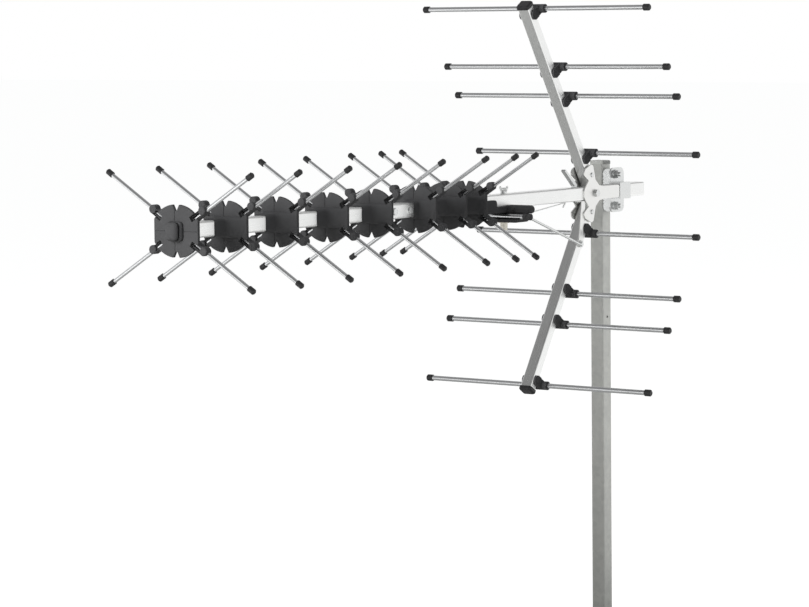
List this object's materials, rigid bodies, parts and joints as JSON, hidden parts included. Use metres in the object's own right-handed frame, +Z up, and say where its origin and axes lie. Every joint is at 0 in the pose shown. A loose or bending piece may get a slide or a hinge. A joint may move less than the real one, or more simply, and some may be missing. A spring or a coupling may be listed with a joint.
{
  "type": "outdoor television antenna",
  "caption": "Outdoor television antenna: crossed directors on a long square boom, a dipole in its housing, a corner reflector of long rods, and a clamp on a square mast.",
  "frame": {"origin": "centre of the mast's lower end", "axes": "+Z up the mast, the boom along X with the antenna pointing to -X, and +Y from the boom to the mast"},
  "size_m": [0.974, 0.3436, 0.8304],
  "materials": {
    "anodised_aluminium": "satin drawn aluminium tube, fine lines along its length",
    "bright_rod": "bright drawn aluminium rod",
    "moulded_abs": "moulded black ABS, fine matt grain",
    "cap_polyethylene": "soft black polyethylene caps",
    "pressed_sheet": "pressed aluminium sheet, satin",
    "zinc_plated_steel": "bright zinc-plated steel",
    "mast_steel": "dull galvanised square tube",
    "circuit_laminate": "green glass-fibre laminate",
    "nickel_brass": "nickel-plated brass thread"
  },
  "bodies": {
    "root": {"boom_front_tube": "anodised_aluminium", "boom_joint_screws": "zinc_plated_steel", "boom_joint_sleeve": "anodised_aluminium", "boom_rear_tube": "anodised_aluminium", "brace_link": "pressed_sheet", "brace_rivets": "zinc_plated_steel", "brace_rod": "zinc_plated_steel", "bracket_bolt": "zinc_plated_steel", "bracket_nut": "zinc_plated_steel", "bracket_plate_far": "pressed_sheet", "bracket_plate_near": "pressed_sheet", "bracket_rivets": "zinc_plated_steel", "circuit_board": "circuit_laminate", "clamp_bolts": "zinc_plated_steel", "clamp_jaw": "zinc_plated_steel", "clamp_nuts": "zinc_plated_steel", "clamp_saddle": "zinc_plated_steel", "clamp_washers": "zinc_plated_steel", "coax_connector": "nickel_brass", "dipole_end_caps": "cap_polyethylene", "dipole_housing": "moulded_abs", "dipole_lid": "moulded_abs", "dipole_screw": "zinc_plated_steel", "dipole_tube": "bright_rod", "director_hub_1": "moulded_abs", "director_hub_2": "moulded_abs", "director_hub_3": "moulded_abs", "director_hub_4": "moulded_abs", "director_hub_5": "moulded_abs", "director_hub_6": "moulded_abs", "director_hub_7": "moulded_abs", "director_hub_8": "moulded_abs", "director_rod_caps": "cap_polyethylene", "director_rods_1": "bright_rod", "director_rods_2": "bright_rod", "director_rods_3": "bright_rod", "director_rods_4": "bright_rod", "director_rods_5": "bright_rod", "director_rods_6": "bright_rod", "director_rods_7": "bright_rod", "director_rods_8": "bright_rod", "lock_lever": "zinc_plated_steel", "mast_cap": "cap_polyethylene", "mast_tube": "mast_steel", "reflector_arm_caps": "cap_polyethylene", "reflector_arm_lower": "anodised_aluminium", "reflector_arm_upper": "anodised_aluminium", "reflector_holders_lower": "moulded_abs", "reflector_holders_upper": "moulded_abs", "reflector_rod_1": "bright_rod", "reflector_rod_2": "bright_rod", "reflector_rod_3": "bright_rod", "reflector_rod_4": "bright_rod", "reflector_rod_5": "bright_rod", "reflector_rod_6": "bright_rod", "reflector_rod_7": "bright_rod", "reflector_rod_8": "bright_rod", "reflector_rod_caps": "cap_polyethylene", "wing_nut": "zinc_plated_steel"}
  },
  "joints": []
}
